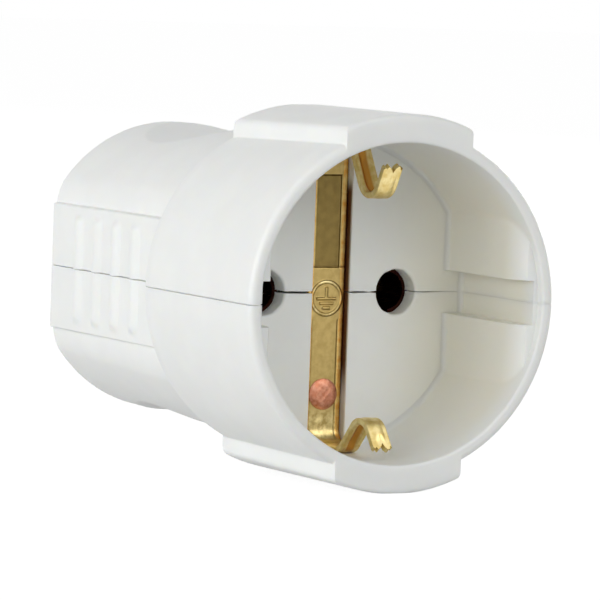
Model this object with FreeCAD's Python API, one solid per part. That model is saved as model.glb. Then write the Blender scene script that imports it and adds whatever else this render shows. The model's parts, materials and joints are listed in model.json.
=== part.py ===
import FreeCAD, Part
import math
import os

V = FreeCAD.Vector

# Inline earthed two-pin socket, rewireable, in millimetres.
# It is drawn with the mouth at y = 0, the body running back along +Y and the
# socket's axis at x = z = 0. place() then stands it on its lower grip pad.

# Collar round the recess
collar_radius = 21.6
collar_length = 26.5
collar_wall = 1.65
mouth_edge_radius = 0.8
recess_depth = 18.8
recess_lip = 0.3
floor_thickness = 2.6

# Grip pads above and below the collar
grip_half_width = 8.95
grip_rise = 1.95
grip_overhang = 1.2
grip_corner_radius = 1.8
grip_front_radius = 0.6
grip_rear_radius = 1.4
grip_flat_half_width = 2.2

# Rear body, turned, with flats at the sides and a finger scoop above and below
overall_length = 66.0
shoulder_drop = 1.6
shoulder_length = 4.5
body_taper = 0.65
body_edge_radius = 1.2
scoop_radius = 27.0
scoop_from_rear = 15.0
scoop_depth = 2.8
wall = 2.1
scoop_wall = 2.4
rear_wall = 2.8

# Side grip pads and their ribs
side_pad_rise = 0.8
side_pad_half_height = 8.3
side_pad_from_rear = 1.0
side_pad_edge = 0.45
grip_rib_from_shoulder = 9.0
grip_rib_from_end = 8.5
grip_rib_pitch = 5.5
grip_rib_width = 2.7
grip_rib_half_height = 7.5
grip_rib_rise = 0.5
grip_rib_end_slope = 1.0

# Flats inside the recess, each with a guide groove
land_inset = 2.9
land_front = 1.2
land_lead_length = 3.8
land_lead_depth = 1.3
groove_half_height = 2.8
groove_inset = 0.65

# Contact sleeves for round pins
pin_spacing = 19.0
sleeve_bore_radius = 2.45
pin_hole_margin = 0.4
pin_hole_chamfer = 0.35
sleeve_wall = 0.65
sleeve_slit = 0.7
sleeve_slit_from_end = 5.6
spring_from_floor = 1.8
spring_width = 1.4
spring_thickness = 0.7
spring_gap_angle = 50.0
tail_half_width = 1.6
tail_thickness = 0.6
tail_lap = 1.6
tail_setback = 0.6

# Framed screw terminals
terminal_half_width = 3.2
terminal_room = 1.7
terminal_gap = 1.6
terminal_length = 7.0
terminal_edge = 0.4
terminal_below = 1.4
terminal_opening = 4.3
terminal_opening_half_width = 1.9
terminal_top = 3.0
terminal_screw_radius = 1.5
terminal_screw_reach = 0.9
terminal_head_radius = 2.4
terminal_head_height = 1.8
rest_half_width = 2.8
rest_half_length = 1.5
wiring_room = 4.0

# Earth strip, folded from one band of brass; rises are from the recess floor,
# reaches are from the middle of the strip where it lies on the recess wall
strip_half_width = 2.6
strip_thickness = 0.8
strip_sunk = 1.2
strip_corner_radius = 1.2
strip_panel_depth = 0.2
strip_panel_rim = 1.0
strip_panel_low = 3.2
strip_panel_from_wall = 5.15
hook_half_width = 1.35
hook_shoulder_rise = 3.6
hook_root_rise = 5.6
hook_apex_rise = 11.0
hook_tip_rise = 14.8
hook_bend_radius = 2.0
upper_apex_reach = 7.3
upper_tip_reach = 2.25
lower_apex_reach = 4.55
lower_tip_reach = 0.65
bead_half_width = 0.5
bead_depth = 0.25
bead_from_root = 1.0
fork_half_width = 0.62
fork_depth = 1.1

# Earth rivet, tab and terminal
rivet_from_wall = 6.85
rivet_radius = 1.2
rivet_head_radius = 2.0
rivet_head_height = 0.75
rivet_tail_radius = 1.5
rivet_tail_height = 0.6
tab_half_width = 2.9
tab_thickness = 0.8
tab_rise = 5.5
tab_bend_radius = 1.0
earth_terminal_from_floor = 3.6
earth_terminal_length = 6.0

# Inner ribs that seat the sleeves, midway between spring ring and sleeve end
rib_thickness = 2.0

# Screws and pegs that hold the two half shells together
housing_screw_radius = 1.45
housing_head_radius = 2.7
housing_head_height = 2.0
housing_head_depth = 8.2
housing_screw_grip = 7.0
front_boss_gap = 0.7
rear_boss_from_wall = 3.2
rear_boss_from_rear = 6.0
lower_boss_half_width = 3.9
upper_boss_half_width = 3.0
peg_from_rim = 3.6
peg_from_floor = 3.1
peg_half_width = 1.0
peg_height = 1.6
peg_boss_half_width = 2.2

# Cord outlet and cord clamp
cord_hole_radius = 4.5
cord_grip_radius = 4.2
clamp_from_rear = 12.0
clamp_half_length = 2.8
clamp_rest = 1.2
clamp_thickness = 2.2
clamp_arch = 2.0
clamp_corner = 1.4
clamp_post_gap = 3.8
clamp_post_half_width = 2.6
clamp_screw_radius = 1.45
clamp_screw_length = 8.7
clamp_head_radius = 2.4
clamp_head_height = 1.8
saddle_half_length = 1.5
saddle_drop = 2.1

# Screw heads: depth and half width of the slot
screw_slot_depth = 1.0
screw_slot_half_width = 0.45

# Clearances
screw_clearance = 0.05
hole_clearance = 0.15
seat_clearance = 0.05
slot_clearance = 0.1
head_clearance = 0.3
tip_clearance = 0.5

# Lengths that only take tools past a face or into a wall, and the steps of a turned edge
past = 1.0
beyond = 90.0
wall_overlap = 0.7
edge_steps = 1
shoulder_steps = 3
dome_steps = 2

# Places that follow from the sizes above
recess_radius = collar_radius - collar_wall
grip_radius = collar_radius + grip_rise
floor_back = recess_depth + floor_thickness
pin_x = pin_spacing / 2
sleeve_radius = sleeve_bore_radius + sleeve_wall
cavity_half_width = pin_x + terminal_half_width + terminal_room
body_half_width = cavity_half_width + wall
body_radius_front = collar_radius - shoulder_drop
body_radius_rear = body_radius_front - body_taper
scoop_floor = body_radius_front - scoop_depth
scoop_centre = overall_length - scoop_from_rear
cavity_radius = body_radius_rear - wall
cavity_half_height = scoop_floor - scoop_wall
cavity_end = overall_length - rear_wall
side_pad_end = overall_length - side_pad_from_rear
clamp_y = overall_length - clamp_from_rear
clamp_post_x = cord_grip_radius + clamp_post_gap
terminal_front = clamp_y - clamp_half_length - wiring_room - terminal_length
sleeve_front = floor_back + seat_clearance
sleeve_end = terminal_front - terminal_gap
spring_front = floor_back + spring_from_floor
rib_front = (spring_front + spring_width + sleeve_end - rib_thickness) / 2
rib_inner = terminal_half_width + head_clearance
strip_front = recess_depth + strip_sunk
strip_back = strip_front + strip_thickness
strip_wall_centre = recess_radius - strip_thickness / 2
rivet_height = rivet_from_wall - recess_radius
tab_low = hole_clearance - cavity_half_height
tab_top = rivet_height + tab_rise
earth_terminal_front = floor_back + earth_terminal_from_floor
earth_terminal_back = earth_terminal_front + earth_terminal_length
front_boss_y = earth_terminal_back + front_boss_gap + lower_boss_half_width
rear_boss_x = cavity_half_width - rear_boss_from_wall
rear_boss_y = overall_length - rear_boss_from_rear
boss_places = [(0, front_boss_y), (rear_boss_x, rear_boss_y)]
housing_screw_seat = housing_head_depth - scoop_floor
peg_x = collar_radius - peg_from_rim
peg_y = floor_back + peg_from_floor
rear_peg = (-rear_boss_x, rear_boss_y)
peg_places = [(peg_x, peg_y), (-peg_x, peg_y), rear_peg]


def box(x0, x1, y0, y1, z0, z1):
    return Part.makeBox(x1 - x0, y1 - y0, z1 - z0, V(x0, y0, z0))


def rod_y(x, z, radius, y0, y1):
    return Part.makeCylinder(radius, y1 - y0, V(x, y0, z), V(0, 1, 0))


def rod_z(x, y, radius, z0, z1):
    return Part.makeCylinder(radius, z1 - z0, V(x, y, z0), V(0, 0, 1))


def post(x, y, half_width, z0, z1):
    return box(x - half_width, x + half_width, y - half_width, y + half_width, z0, z1)


def line(a, b):
    return Part.makeLine(V(*a), V(*b))


def arc(a, b, c):
    return Part.Arc(V(*a), V(*b), V(*c)).toShape()


def turned(profile):
    """Solid turned about the Y axis from (radius, y) corners."""
    corners = [V(r, y, 0) for r, y in profile]
    return Part.Face(Part.makePolygon(corners + corners[:1])).revolve(V(0, 0, 0), V(0, 1, 0), 360)


def turned_arc(r, y, radius, start, end, steps):
    """(radius, y) corners along an arc, its angles in degrees from +r towards +y."""
    angles = [math.radians(start + (end - start) * k / steps) for k in range(steps + 1)]
    return [(r + radius * math.cos(a), y + radius * math.sin(a)) for a in angles]


def fuse_all(shapes):
    return shapes[0].multiFuse(shapes[1:]).removeSplitter()


def cut_all(body, tools):
    return body.cut(tools).removeSplitter()


def mirror_x(shape):
    return shape.mirror(V(0, 0, 0), V(1, 0, 0))


def mirror_z(shape):
    return shape.mirror(V(0, 0, 0), V(0, 0, 1))


def edges_where(shape, test):
    """Edges whose every sampled point passes the test."""
    return [edge for edge in shape.Edges if all(test(p) for p in edge.discretize(5))]


# Outer form: a turned collar with a rounded shoulder
def collar():
    r = collar_radius
    e = mouth_edge_radius
    shoulder_radius = (shoulder_length ** 2 + shoulder_drop ** 2) / (2 * shoulder_drop)
    low = cavity_half_width + wall / 2
    turn = math.degrees(math.acos(1 - min(r - low, shoulder_radius) / shoulder_radius))
    shoulder = turned_arc(r - shoulder_radius, collar_length, shoulder_radius, 0, turn, shoulder_steps)
    edge = turned_arc(r - e, e, e, -90, 0, edge_steps)
    return turned([(0, 0)] + edge + shoulder + [(0, shoulder[-1][1])])


def rear_body():
    r = body_radius_rear
    e = body_edge_radius
    y1 = overall_length
    edge = turned_arc(r - e, y1 - e, e, 0, 90, edge_steps)
    form = turned([(0, collar_length), (body_radius_front, collar_length)] + edge + [(0, y1)])
    w = body_half_width
    form = form.common(box(-w, w, collar_length, y1, -beyond, beyond))
    scoop_axis = V(-beyond, scoop_centre, scoop_floor + scoop_radius)
    scoop = Part.makeCylinder(scoop_radius, 2 * beyond, scoop_axis, V(1, 0, 0))
    return form.cut([scoop, mirror_z(scoop)])


# Grip pad: an arc concentric with the collar, rounded into upright sides
def grip_pad():
    r = grip_radius
    w = grip_half_width
    f = grip_corner_radius
    flat = grip_flat_half_width
    low = recess_radius - past
    centre_x = w - f
    centre_z = math.sqrt((r - f) ** 2 - centre_x ** 2)
    out = r / (r - f)
    top = math.sqrt(r * r - flat * flat)
    corner_angle = math.atan2(centre_x, centre_z)
    crown_angle = (math.atan2(flat, top) + corner_angle) / 2
    bend_angle = (math.pi / 2 + corner_angle) / 2
    edges = [line((-w, 0, low), (w, 0, low)), line((-flat, 0, top), (flat, 0, top))]
    for s in (1, -1):
        edges.append(line((s * w, 0, low), (s * w, 0, centre_z)))
        edges.append(arc((s * w, 0, centre_z),
                         (s * (centre_x + f * math.sin(bend_angle)), 0, centre_z + f * math.cos(bend_angle)),
                         (s * centre_x * out, 0, centre_z * out)))
        edges.append(arc((s * centre_x * out, 0, centre_z * out),
                         (s * r * math.sin(crown_angle), 0, r * math.cos(crown_angle)),
                         (s * flat, 0, top)))
    length = collar_length + grip_overhang
    pad = Part.Face(Part.Wire(Part.__sortEdges__(edges))).extrude(V(0, length, 0))
    e0, e1 = grip_front_radius, grip_rear_radius
    front = turned_arc(r - e0, e0, e0, -90, 0, edge_steps)
    rear = turned_arc(r - e1, length - e1, e1, 0, 90, edge_steps)
    return pad.common(turned([(0, 0)] + front + rear + [(0, length)]))


# Side pad with a row of rounded grip ribs
def side_pad():
    x1 = body_half_width + side_pad_rise
    h = side_pad_half_height
    pad = box(body_half_width - wall / 2, x1, collar_length, side_pad_end, -h, h)
    outer = edges_where(pad, lambda p: abs(p.x - x1) < 1e-6 and p.y > collar_length + side_pad_edge / 2)
    pieces = [pad.makeChamfer(side_pad_edge, outer)]
    half = grip_rib_width / 2
    end = grip_rib_half_height
    slope = grip_rib_end_slope
    x0 = x1 - side_pad_rise / 2
    crown = x1 + grip_rib_rise
    outline = [(x0, -end), (x1, -end), (crown, slope - end), (crown, end - slope), (x1, end), (x0, end)]
    corners = [V(x, 0, z) for x, z in outline + outline[:1]]
    side_form = Part.Face(Part.makePolygon(corners)).extrude(V(0, side_pad_end, 0))
    first = collar_length + shoulder_length + grip_rib_from_shoulder
    count = 1 + int((side_pad_end - grip_rib_from_end - first) / grip_rib_pitch + 1e-6)
    for k in range(count):
        y = first + k * grip_rib_pitch
        section = [
            line((x0, y - half, -end), (x1, y - half, -end)),
            arc((x1, y - half, -end), (crown, y, -end), (x1, y + half, -end)),
            line((x1, y + half, -end), (x0, y + half, -end)),
            line((x0, y + half, -end), (x0, y - half, -end)),
        ]
        pieces.append(Part.Face(Part.Wire(section)).extrude(V(0, 0, 2 * end)).common(side_form))
    return fuse_all(pieces)


# Recess for the plug: round, with a flat and a guide groove at each side
def recess():
    r = recess_radius
    lip = recess_lip
    bore = turned([(0, -lip), (r + 2 * lip, -lip), (r, lip), (r, recess_depth), (0, recess_depth)])
    x0 = recess_radius - land_inset
    lead_end = land_front + land_lead_length
    lead_radius = (land_lead_length ** 2 + land_lead_depth ** 2) / (2 * land_lead_depth)
    turn = math.asin(land_lead_length / lead_radius) / 2
    z = -beyond / 2
    outline = [
        line((x0, recess_depth, z), (x0, lead_end, z)),
        arc((x0, lead_end, z),
            (x0 + lead_radius * (1 - math.cos(turn)), lead_end - lead_radius * math.sin(turn), z),
            (x0 + land_lead_depth, land_front, z)),
        line((x0 + land_lead_depth, land_front, z), (collar_radius, land_front, z)),
        line((collar_radius, land_front, z), (collar_radius, recess_depth, z)),
        line((collar_radius, recess_depth, z), (x0, recess_depth, z)),
    ]
    land = Part.Face(Part.Wire(outline)).extrude(V(0, 0, beyond))
    h = groove_half_height
    land = land.cut(box(0, recess_radius - groove_inset, 0, recess_depth, -h, h))
    return bore.cut([land, mirror_x(land)])


def cavity(grow=0.0):
    """Eight-sided room inside the rear body, its corners cut back to the wall's radius."""
    w = cavity_half_width + grow
    h = cavity_half_height + grow
    r = cavity_radius + grow
    x = math.sqrt(max(r * r - h * h, 0))
    z = math.sqrt(max(r * r - w * w, 0))
    outline = [V(a, floor_back - grow, b) for a, b in (
        (w, z), (x, h), (-x, h), (-w, z), (-w, -z), (-x, -h), (x, -h), (w, -z))]
    face = Part.Face(Part.makePolygon(outline + outline[:1]))
    return face.extrude(V(0, cavity_end - floor_back + 2 * grow, 0))


def outer_form():
    pad = grip_pad()
    side = side_pad()
    return fuse_all([collar(), rear_body(), pad, mirror_z(pad), side, mirror_x(side)])


# Housing before it is split: outer form less recess, cavity and openings
def housing_blank():
    tools = [recess(), cavity()]
    hole = sleeve_bore_radius + pin_hole_margin
    for x in (pin_x, -pin_x):
        tools.append(rod_y(x, 0, hole, recess_depth - past, floor_back + past))
        tools.append(Part.makeCone(hole + pin_hole_chamfer, hole, pin_hole_chamfer, V(x, recess_depth, 0),
                                   V(0, 1, 0)))
    w = strip_half_width + slot_clearance
    pocket = strip_wall_centre + strip_thickness / 2 + seat_clearance
    seat_end = recess_depth - hook_root_rise - strip_thickness
    wall_seat = box(-w, w, seat_end, strip_back, recess_radius - past, pocket)
    tools += [
        box(-w, w, recess_depth - past, strip_back, -pocket, pocket),
        wall_seat,
        mirror_z(wall_seat),
        rod_y(0, rivet_height, rivet_radius + screw_clearance, recess_depth, floor_back + past),
        rod_y(0, 0, cord_hole_radius, cavity_end - past, overall_length + past),
        Part.makeCone(cord_hole_radius, cord_hole_radius + mouth_edge_radius, mouth_edge_radius,
                      V(0, overall_length - mouth_edge_radius, 0), V(0, 1, 0)),
    ]
    return outer_form().cut(tools)


def sleeve_ribs(z0, z1):
    """Cross ribs with a half-round seat for each contact sleeve."""
    y0, y1 = rib_front, rib_front + rib_thickness
    plate = box(rib_inner, beyond, y0, y1, z0, z1).cut(
        rod_y(pin_x, 0, sleeve_radius + seat_clearance, y0 - past, y1 + past))
    return [plate, mirror_x(plate)]


def fitted_inside(adds):
    """Inner features joined, trimmed to the walls they stand on and cleared for the cord."""
    cord_way = rod_y(0, 0, cord_grip_radius, clamp_y - clamp_half_length - past, cavity_end)
    return fuse_all(adds).common(cavity(wall_overlap)).cut(cord_way)


def upper_shell(blank):
    half = blank.common(box(-beyond, beyond, -beyond, beyond, 0, beyond))
    bosses = [post(x, y, upper_boss_half_width, 0, beyond) for x, y in boss_places]
    bosses.append(post(*rear_peg, peg_boss_half_width, 0, beyond))
    half = fuse_all([half, fitted_inside(sleeve_ribs(0, beyond) + bosses)])
    pilot = housing_screw_radius + screw_clearance
    tools = [rod_z(x, y, pilot, -past, housing_screw_grip + tip_clearance) for x, y in boss_places]
    for x, y in peg_places:
        tools.append(post(x, y, peg_half_width + seat_clearance, -past, peg_height + head_clearance))
    return cut_all(half, tools)


def lower_shell(blank):
    half = blank.common(box(-beyond, beyond, -beyond, beyond, -beyond, 0))
    places = [(pin_x, terminal_front + terminal_length / 2, -sleeve_radius),
              (-pin_x, terminal_front + terminal_length / 2, -sleeve_radius),
              (0, earth_terminal_front + earth_terminal_length / 2, tab_top - tab_thickness)]
    w, h = rest_half_width, rest_half_length
    adds = sleeve_ribs(-beyond, 0)
    adds += [box(x - w, x + w, y - h, y + h, -beyond, terminal_base(low)) for x, y, low in places]
    clamp_places = [(clamp_post_x, clamp_y), (-clamp_post_x, clamp_y)]
    adds += [post(x, y, clamp_post_half_width, -beyond, 0) for x, y in clamp_places]
    adds += [post(x, y, lower_boss_half_width, -beyond, 0) for x, y in boss_places]
    adds.append(post(*rear_peg, peg_boss_half_width, -beyond, 0))
    adds.append(box(-clamp_post_x, clamp_post_x, clamp_y - saddle_half_length, clamp_y + saddle_half_length,
                    -beyond, -saddle_drop))
    posts = [post(x, y, clamp_post_half_width, -past, clamp_rest) for x, y in clamp_places]
    pegs = [post(x, y, peg_half_width, -past, peg_height) for x, y in peg_places]
    half = fuse_all([half, fitted_inside(adds)] + posts + pegs)
    tools = []
    for x, y in boss_places:
        tools.append(rod_z(x, y, housing_screw_radius + hole_clearance, housing_screw_seat - past, past))
        tools.append(rod_z(x, y, housing_head_radius + head_clearance, -beyond, housing_screw_seat))
    bottom = clamp_rest + clamp_thickness - clamp_screw_length - tip_clearance
    for x, y in clamp_places:
        tools.append(rod_z(x, y, clamp_screw_radius + screw_clearance, bottom, clamp_rest + past))
    return cut_all(half, tools)


# Contact sleeve: slotted tube with a flat tail for the terminal
def contact_sleeve(x):
    tube = rod_y(x, 0, sleeve_radius, sleeve_front, sleeve_end)
    low = -sleeve_radius
    tail = box(x - tail_half_width, x + tail_half_width, sleeve_end - tail_lap,
               terminal_front + terminal_length - tail_setback, low, low + tail_thickness)
    s = sleeve_slit / 2
    return cut_all(tube.fuse(tail), [
        rod_y(x, 0, sleeve_bore_radius, sleeve_front - past, sleeve_end + past),
        box(x - s, x + s, sleeve_front - past, sleeve_end - sleeve_slit_from_end, -beyond, beyond),
    ])


# Open spring ring that closes the slotted sleeve on the pin
def contact_spring(x):
    inner = sleeve_radius + seat_clearance / 2
    y1 = spring_front + spring_width
    ring = rod_y(x, 0, inner + spring_thickness, spring_front, y1)
    reach = math.copysign(beyond, x)
    rise = beyond * math.tan(math.radians(spring_gap_angle / 2))
    y = spring_front - past
    corners = [V(x, y, 0), V(x + reach, y, rise), V(x + reach, y, -rise), V(x, y, 0)]
    gap = Part.Face(Part.makePolygon(corners)).extrude(V(0, spring_width + 2 * past, 0))
    return ring.cut([rod_y(x, 0, inner, y, y1 + past), gap])


def terminal_base(tail_low):
    return tail_low - seat_clearance - terminal_below


def terminal_block(x, y0, length, tail_low):
    """Brass frame: the tail and the wire pass through it, a screw closes on them."""
    low = terminal_base(tail_low)
    open_low = low + terminal_below
    open_high = open_low + terminal_opening
    w = terminal_half_width
    block = box(x - w, x + w, y0, y0 + length, low, open_high + terminal_top)
    upright = [e for e in block.Edges if e.BoundBox.ZLength > terminal_opening]
    w = terminal_opening_half_width
    return cut_all(block.makeChamfer(terminal_edge, upright), [
        box(x - w, x + w, y0 - past, y0 + length + past, open_low, open_high),
        rod_z(x, y0 + length / 2, terminal_screw_radius + screw_clearance, open_high - past, beyond),
    ])


def slotted_screw(x, y, seat, radius, head_radius, head_height, length, up=1):
    """Cheese-head screw: up = 1 has its head above the seat, -1 below it."""
    def rod(r, a, b):
        return rod_z(x, y, r, *sorted((seat + up * a, seat + up * b)))

    top = seat + up * head_height
    half = screw_slot_half_width
    low, high = sorted((top - up * screw_slot_depth, top + up * past))
    slot = box(x - beyond, x + beyond, y - half, y + half, low, high)
    return fuse_all([rod(head_radius, 0, head_height), rod(radius, -length, 0)]).cut(slot)


def terminal_screw(x, y0, length, tail_low):
    seat = terminal_base(tail_low) + terminal_below + terminal_opening + terminal_top
    return slotted_screw(x, y0 + length / 2, seat, terminal_screw_radius, terminal_head_radius,
                         terminal_head_height, terminal_top + terminal_screw_reach)


# Side outline of a folded strip, between two offsets from its centre line
def strip_face(points, radii, low, high):
    """points are (y, z) corners, radii the bend radius of the centre line at each inner corner."""
    def unit(a, b):
        d = (b[0] - a[0], b[1] - a[1])
        n = math.hypot(*d)
        return d[0] / n, d[1] / n

    def shifted(p, direction, offset):
        return V(0, p[0] - direction[1] * offset, p[1] + direction[0] * offset)

    edges = []
    starts, ends = [], []
    for offset in (low, high):
        heading = unit(points[0], points[1])
        current = shifted(points[0], heading, offset)
        starts.append(current)
        for corner, following, radius in zip(points[1:], points[2:], radii):
            after = unit(corner, following)
            cross = heading[0] * after[1] - heading[1] * after[0]
            turn = math.atan2(cross, heading[0] * after[0] + heading[1] * after[1])
            side = math.copysign(1, turn)
            setback = radius * math.tan(abs(turn) / 2)
            enter = (corner[0] - heading[0] * setback, corner[1] - heading[1] * setback)
            leave = (corner[0] + after[0] * setback, corner[1] + after[1] * setback)
            centre = (enter[0] - side * heading[1] * radius, enter[1] + side * heading[0] * radius)
            middle = unit(centre, corner)
            bend = radius - side * offset
            top = V(0, centre[0] + middle[0] * bend, centre[1] + middle[1] * bend)
            a = shifted(enter, heading, offset)
            b = shifted(leave, after, offset)
            edges.append(Part.makeLine(current, a))
            edges.append(Part.Arc(a, top, b).toShape())
            current, heading = b, after
        last = shifted(points[-1], heading, offset)
        edges.append(Part.makeLine(current, last))
        ends.append(last)
    edges += [Part.makeLine(*starts), Part.makeLine(*ends)]
    return Part.Face(Part.Wire(Part.__sortEdges__(edges)))


def extrude_x(face, half_width):
    moved = face.copy()
    moved.translate(V(-half_width, 0, 0))
    return moved.extrude(V(2 * half_width, 0, 0))


def hook_path(apex_reach, tip_reach):
    """Centre line of one end, from the floor of the recess to the forked tip."""
    y_floor = strip_front + strip_thickness / 2
    return [
        (y_floor, 0.0),
        (y_floor, strip_wall_centre),
        (recess_depth - hook_root_rise, strip_wall_centre),
        (recess_depth - hook_apex_rise, strip_wall_centre - apex_reach),
        (recess_depth - hook_tip_rise, strip_wall_centre - tip_reach),
    ]


def strip_end(apex_reach, tip_reach):
    """One half of the earth strip: floor, wall, then a narrower beaded hook with a forked tip."""
    path = hook_path(apex_reach, tip_reach)
    radii = [strip_corner_radius, hook_bend_radius, hook_bend_radius]
    skin = strip_thickness / 2
    shoulder = recess_depth - hook_shoulder_rise
    tip = recess_depth - hook_tip_rise
    fork_end = tip + fork_depth
    band = strip_face(path, radii, -skin, skin)
    wide = extrude_x(band, strip_half_width).common(box(-beyond, beyond, shoulder, beyond, 0, beyond))
    slim = extrude_x(band, hook_half_width).common(box(-beyond, beyond, -beyond, shoulder + past, 0, beyond))
    sprung = box(-beyond, beyond, fork_end, recess_depth - hook_root_rise - bead_from_root, 0, beyond)
    ridge = extrude_x(strip_face(path, radii, skin, skin + bead_depth), bead_half_width).common(sprung)
    trough = extrude_x(strip_face(path, radii, -skin - seat_clearance, bead_depth - skin), bead_half_width)
    fork = box(-fork_half_width, fork_half_width, -beyond, fork_end, strip_wall_centre - apex_reach, beyond)
    return fuse_all([wide, slim, ridge]).cut([trough.common(sprung), fork])


def earth_strip():
    upper = strip_end(upper_apex_reach, upper_tip_reach)
    lower = mirror_z(strip_end(lower_apex_reach, lower_tip_reach))
    w = strip_half_width - strip_panel_rim
    return cut_all(fuse_all([upper, lower]), [
        box(-w, w, strip_front - past, strip_front + strip_panel_depth, strip_panel_low,
            recess_radius - strip_panel_from_wall),
        rod_y(0, rivet_height, rivet_radius + screw_clearance, strip_front - past, strip_back + past),
    ])


def earth_rivet():
    """Domed head on the strip, shank through strip, floor and tab, spread tail behind."""
    h = rivet_head_height
    r = rivet_head_radius
    ball = (r * r + h * h) / (2 * h)
    spread = math.degrees(math.asin(r / ball))
    dome = turned_arc(0, strip_front - h + ball, ball, -90, spread - 90, dome_steps)
    back = floor_back + tab_thickness
    rivet = turned(dome + [
        (rivet_radius, strip_front),
        (rivet_radius, back),
        (rivet_tail_radius, back),
        (rivet_tail_radius, back + rivet_tail_height),
        (0, back + rivet_tail_height),
    ])
    rivet.translate(V(0, 0, rivet_height))
    return rivet


# Earth tab behind the recess floor, bent back into its terminal
def earth_tab():
    t = tab_thickness
    y = floor_back + t / 2
    z = tab_top - t / 2
    path = [(y, tab_low), (y, z), (earth_terminal_back - tail_setback, z)]
    body = extrude_x(strip_face(path, [tab_bend_radius], -t / 2, t / 2), tab_half_width)
    tongue = box(-tail_half_width, tail_half_width, 0, beyond, -beyond, beyond)
    plate = box(-beyond, beyond, 0, earth_terminal_front - terminal_gap, -beyond, beyond)
    hole = rod_y(0, rivet_height, rivet_radius + screw_clearance, 0, beyond)
    return body.common(plate.fuse(tongue)).cut(hole)


def cord_clamp():
    y0, y1 = clamp_y - clamp_half_length, clamp_y + clamp_half_length
    w = clamp_post_x + clamp_half_length
    bar = box(-w, w, y0, y1, clamp_rest, clamp_rest + clamp_thickness)
    bar = bar.makeChamfer(clamp_corner, edges_where(bar, lambda p: abs(abs(p.x) - w) < 1e-6
                                                    and abs(p.y - clamp_y) > clamp_half_length - 1e-6))
    arch = rod_y(0, 0, cord_grip_radius + clamp_arch, y0, y1).common(
        box(-beyond, beyond, y0, y1, clamp_rest, beyond))
    tools = [rod_y(0, 0, cord_grip_radius, y0 - past, y1 + past)]
    tools += [rod_z(x, clamp_y, clamp_screw_radius + hole_clearance, -past, beyond)
              for x in (clamp_post_x, -clamp_post_x)]
    return cut_all(fuse_all([bar, arch]), tools)


def place(shape):
    """Origin under the middle of the part, on the surface that it rests on."""
    rest = math.sqrt(grip_radius ** 2 - grip_flat_half_width ** 2)
    moved = shape.copy()
    moved.translate(V(0, -overall_length / 2, rest))
    return moved


def build():
    blank = housing_blank()
    nodes = {
        "upper_shell": upper_shell(blank),
        "lower_shell": lower_shell(blank),
        "earth_strip": earth_strip(),
        "earth_rivet": earth_rivet(),
        "earth_tab": earth_tab(),
        "cord_clamp": cord_clamp(),
    }
    earth = (0, earth_terminal_front, earth_terminal_length, tab_top - tab_thickness)
    nodes["earth_terminal_block"] = terminal_block(*earth)
    nodes["earth_terminal_screw"] = terminal_screw(*earth)
    for name, s in (("left", -1), ("right", 1)):
        x = s * pin_x
        terminal = (x, terminal_front, terminal_length, -sleeve_radius)
        nodes["contact_sleeve_" + name] = contact_sleeve(x)
        nodes["contact_spring_" + name] = contact_spring(x)
        nodes["terminal_block_" + name] = terminal_block(*terminal)
        nodes["terminal_screw_" + name] = terminal_screw(*terminal)
        nodes["clamp_screw_" + name] = slotted_screw(
            s * clamp_post_x, clamp_y, clamp_rest + clamp_thickness, clamp_screw_radius,
            clamp_head_radius, clamp_head_height, clamp_screw_length)
    for name, (x, y) in zip(("front", "rear_right"), boss_places):
        nodes["housing_screw_" + name] = slotted_screw(
            x, y, housing_screw_seat, housing_screw_radius, housing_head_radius, housing_head_height,
            housing_screw_grip - housing_screw_seat, up=-1)
    return nodes


os.makedirs("parts", exist_ok=True)
for node, solid in build().items():
    placed = place(solid)
    placed.exportStep("parts/" + node + ".step")
    print(node, len(placed.Solids), placed.isValid(), round(placed.Volume, 2))
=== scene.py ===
"""Inline socket connector: the dressed model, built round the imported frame."""

import json
import logging
import math
from dataclasses import dataclass
from enum import Enum

import bmesh
import bpy
import numpy as np
from mathutils import Matrix, Vector


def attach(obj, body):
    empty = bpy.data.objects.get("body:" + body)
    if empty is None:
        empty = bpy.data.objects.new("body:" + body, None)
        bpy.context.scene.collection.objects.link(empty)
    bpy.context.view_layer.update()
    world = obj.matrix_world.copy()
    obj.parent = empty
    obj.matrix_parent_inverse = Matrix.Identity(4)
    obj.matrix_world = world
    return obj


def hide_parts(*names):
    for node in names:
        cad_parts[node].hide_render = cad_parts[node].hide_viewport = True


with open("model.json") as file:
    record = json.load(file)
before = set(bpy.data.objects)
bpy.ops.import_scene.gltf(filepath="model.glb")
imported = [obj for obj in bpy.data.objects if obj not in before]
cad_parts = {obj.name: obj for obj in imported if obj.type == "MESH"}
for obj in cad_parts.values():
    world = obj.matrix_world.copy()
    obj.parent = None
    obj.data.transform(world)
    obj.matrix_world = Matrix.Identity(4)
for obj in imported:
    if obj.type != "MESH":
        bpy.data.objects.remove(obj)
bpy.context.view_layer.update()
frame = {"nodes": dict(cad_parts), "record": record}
log = logging.getLogger("socket")

Array = np.ndarray
Colour = tuple[float, float, float, float]
Range = tuple[float, float]
Material = bpy.types.Material
Mesh = bpy.types.Mesh
Node = bpy.types.Node
Socket = bpy.types.NodeSocket
BLACK = (0.0, 0.0, 0.0, 1.0)
WHITE = (1.0, 1.0, 1.0, 1.0)
TINY = 1e-6
MM = 0.001
OVERALL_LENGTH = 66.0
GRIP_RADIUS = 23.55
GRIP_FLAT = 2.2
REST_HEIGHT = math.sqrt(GRIP_RADIUS ** 2 - GRIP_FLAT ** 2)
SHARP_ANGLE = math.radians(32)


def linear(red: float, green: float, blue: float) -> Colour:
    """Screen colour, each part 0 to 255, as the linear colour that nodes take."""
    shown = [value / 255 for value in (red, green, blue)]
    return (*[v / 12.92 if v <= 0.04045 else ((v + 0.055) / 1.055) ** 2.4 for v in shown], 1.0)


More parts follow.
